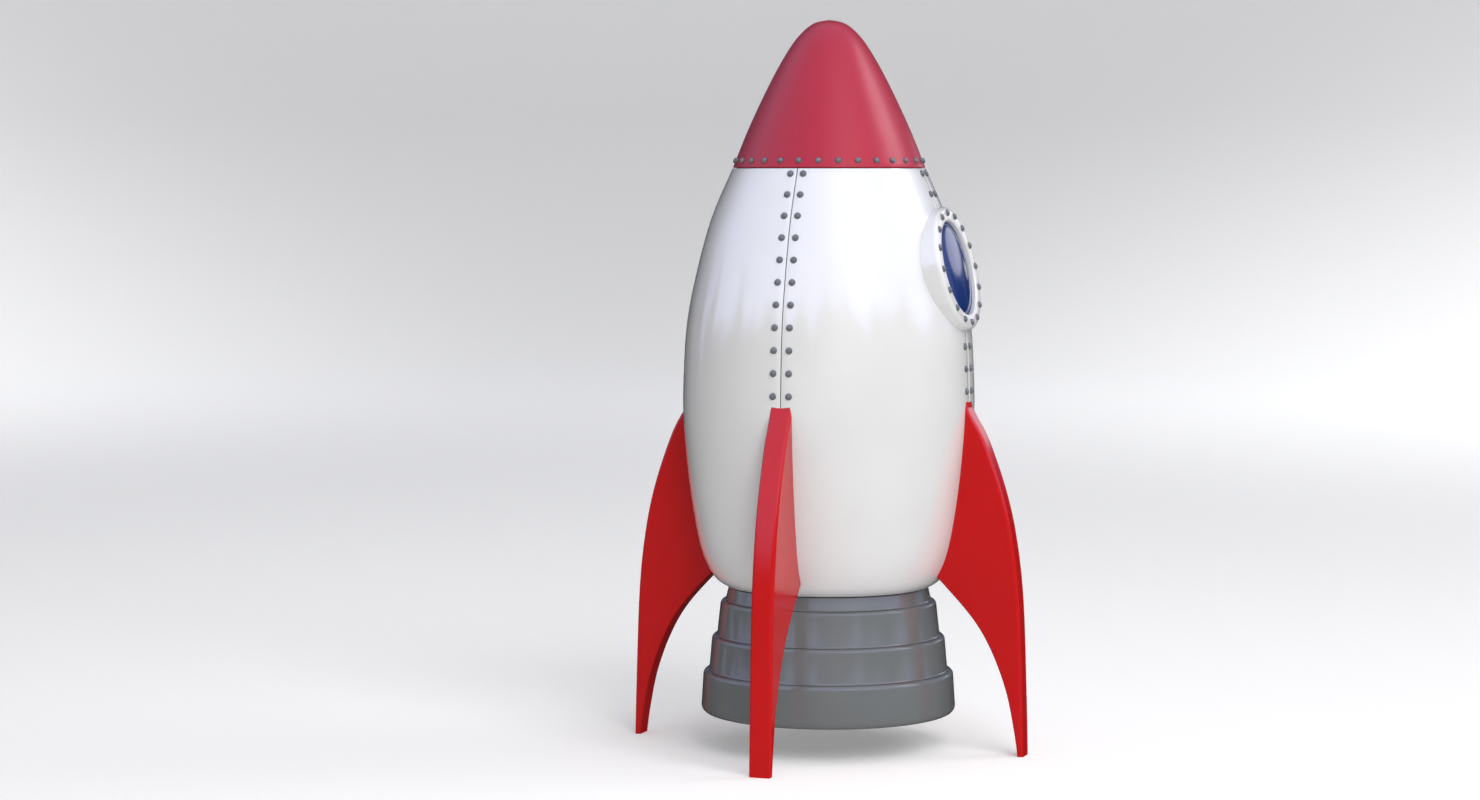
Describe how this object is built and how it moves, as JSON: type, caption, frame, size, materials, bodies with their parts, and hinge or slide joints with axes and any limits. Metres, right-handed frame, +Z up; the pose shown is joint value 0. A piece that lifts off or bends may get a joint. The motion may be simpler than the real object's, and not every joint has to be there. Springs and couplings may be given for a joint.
{
  "type": "toy rocket",
  "caption": "Upright tin toy rocket: riveted hull of pressed panels, lift-off nose cap, tilted round window, stepped bell nozzle, standing on swept hollow fins.",
  "frame": {"origin": "on the ground plane below the middle of the hull, between the four feet", "axes": "+Z up through the nose's tip; -Y towards the side with the window; fins along +X, +Y, -X and -Y"},
  "size_m": [0.215, 0.215, 0.38],
  "materials": {
    "white_tin": "glossy pearl white enamel",
    "nose_red": "glossy crimson enamel",
    "red_tin": "glossy red enamel",
    "grey_tin": "satin grey enamel",
    "rivet_steel": "dark dull steel",
    "bare_tin": "bare tinplate",
    "blue_lens": "polished deep blue",
    "blue_tin": "dark blue enamel",
    "grey_rubber": "matt",
    "screw_steel": "zinc plated"
  },
  "bodies": {
    "rocket": {"hull_panel_1": "white_tin", "hull_panel_2": "white_tin", "hull_panel_3": "white_tin", "hull_panel_4": "white_tin", "porthole_drum": "white_tin", "seam_strap_right": "rivet_steel", "seam_strap_back": "rivet_steel", "seam_strap_left": "rivet_steel", "seam_strap_front_upper": "rivet_steel", "seam_strap_front_lower": "rivet_steel", "porthole_rivet_ring": "rivet_steel", "porthole_lens": "blue_lens", "porthole_gasket": "grey_rubber", "porthole_backing": "blue_tin", "porthole_clamp_ring": "bare_tin", "hull_floor": "bare_tin", "nozzle_neck": "grey_tin", "nozzle_tier_2": "grey_tin", "nozzle_tier_3": "grey_tin", "nozzle_tier_4": "grey_tin", "fin_1_shell": "red_tin", "fin_1_root_bar": "bare_tin", "fin_1_screw_upper": "screw_steel", "fin_1_screw_lower": "screw_steel", "fin_2_shell": "red_tin", "fin_2_root_bar": "bare_tin", "fin_2_screw_upper": "screw_steel", "fin_2_screw_lower": "screw_steel", "fin_3_shell": "red_tin", "fin_3_root_bar": "bare_tin", "fin_3_screw_upper": "screw_steel", "fin_3_screw_lower": "screw_steel", "fin_4_shell": "red_tin", "fin_4_root_bar": "bare_tin", "fin_4_screw_upper": "screw_steel", "fin_4_screw_lower": "screw_steel", "nozzle_screw_1": "screw_steel", "nozzle_screw_2": "screw_steel", "nozzle_screw_3": "screw_steel", "nozzle_screw_4": "screw_steel"},
    "nose": {"nose_cone": "nose_red", "nose_collar": "rivet_steel"}
  },
  "joints": [
    {"name": "nose_lift", "type": "slide", "parent": "rocket", "child": "nose", "axis": [0, 0, 1], "range_m": [0, 0.06]}
  ]
}
